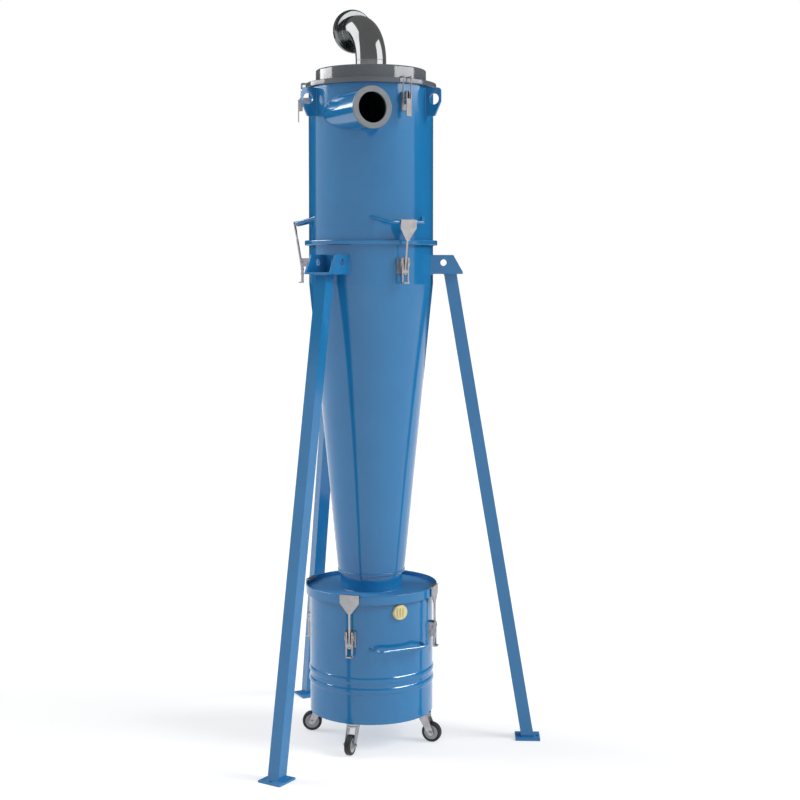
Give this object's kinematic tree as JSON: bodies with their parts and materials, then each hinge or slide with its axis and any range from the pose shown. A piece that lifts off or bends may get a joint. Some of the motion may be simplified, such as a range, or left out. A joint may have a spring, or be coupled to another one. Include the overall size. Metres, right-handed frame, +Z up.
{
  "type": "cyclone separator",
  "caption": "Floor-standing cyclone dust separator: tangential inlet, elbow outlet on a latched lid, long cone on splayed legs and a latched dust bin on casters.",
  "frame": {"origin": "on the cyclone axis at floor level, the centre of the circle through the foot anchor holes", "axes": "+Z up along the cyclone axis, -Y the way the inlet mouth points, +Y the way the outlet elbow points"},
  "size_m": [1.2416, 1.0753, 2.9736],
  "materials": {
    "blue_paint": "gloss powder coat",
    "grey_paint": "gloss",
    "polished_steel": "polished",
    "zinc_plate": "bright zinc",
    "grey_rubber": "satin",
    "seal_rubber": "matte",
    "tyre_rubber": "matte",
    "grey_plastic": "satin",
    "yellow_plastic": "gloss"
  },
  "bodies": {
    "root": {"bin_bottom": "blue_paint", "bin_cap": "yellow_plastic", "bin_cover": "blue_paint", "bin_gasket": "seal_rubber", "bin_handle": "blue_paint", "bin_latch_bases": "zinc_plate", "bin_latch_claws": "zinc_plate", "bin_latch_levers": "zinc_plate", "bin_wall": "blue_paint", "body_gasket": "seal_rubber", "body_latch_bases": "zinc_plate", "body_latch_claws": "zinc_plate", "body_latch_levers": "zinc_plate", "caster_plates": "zinc_plate", "cone_section": "blue_paint", "dust_collar": "blue_paint", "foot_plates": "blue_paint", "inlet_pipe": "blue_paint", "inlet_ring": "grey_rubber", "leg_brackets": "blue_paint", "legs": "blue_paint", "lid": "grey_paint", "lid_gasket": "seal_rubber", "lid_latch_bails": "zinc_plate", "lid_latch_bases": "zinc_plate", "lid_latch_levers": "zinc_plate", "lifting_lugs": "blue_paint", "outlet_elbow": "polished_steel", "outlet_ring": "polished_steel", "strike_bars": "blue_paint", "upper_cylinder": "blue_paint", "vortex_finder": "polished_steel"},
    "fork_right": {"caster_fork_right": "zinc_plate"},
    "wheel_right": {"caster_tyre_right": "tyre_rubber", "caster_hub_right": "grey_plastic"},
    "fork_back": {"caster_fork_back": "zinc_plate"},
    "wheel_back": {"caster_tyre_back": "tyre_rubber", "caster_hub_back": "grey_plastic"},
    "fork_front": {"caster_fork_front": "zinc_plate"},
    "wheel_front": {"caster_tyre_front": "tyre_rubber", "caster_hub_front": "grey_plastic"},
    "fork_left": {"caster_fork_left": "zinc_plate"},
    "wheel_left": {"caster_tyre_left": "tyre_rubber", "caster_hub_left": "grey_plastic"}
  },
  "joints": [
    {"name": "swivel_right", "type": "hinge", "parent": "root", "child": "fork_right", "pos_m": [0.15839, -0.15839, 0.11005], "axis": [0, 0, 1], "continuous": true},
    {"name": "roll_right", "type": "hinge", "parent": "fork_right", "child": "wheel_right", "pos_m": [0.18114, -0.18366, 0.04], "axis": [0.7431, 0.6691, 0], "continuous": true},
    {"name": "swivel_back", "type": "hinge", "parent": "root", "child": "fork_back", "pos_m": [0.15839, 0.15839, 0.11005], "axis": [0, 0, 1], "continuous": true},
    {"name": "roll_back", "type": "hinge", "parent": "fork_back", "child": "wheel_back", "pos_m": [0.17002, 0.19034, 0.04], "axis": [-0.9397, 0.342, 0], "continuous": true},
    {"name": "swivel_front", "type": "hinge", "parent": "root", "child": "fork_front", "pos_m": [-0.15839, -0.15839, 0.11005], "axis": [0, 0, 1], "continuous": true},
    {"name": "roll_front", "type": "hinge", "parent": "fork_front", "child": "wheel_front", "pos_m": [-0.18326, -0.18158, 0.04], "axis": [0.682, -0.7314, 0], "continuous": true},
    {"name": "swivel_left", "type": "hinge", "parent": "root", "child": "fork_left", "pos_m": [-0.15839, 0.15839, 0.11005], "axis": [0, 0, 1], "continuous": true},
    {"name": "roll_left", "type": "hinge", "parent": "fork_left", "child": "wheel_left", "pos_m": [-0.18869, 0.17383, 0.04], "axis": [-0.454, -0.891, 0], "continuous": true}
  ]
}
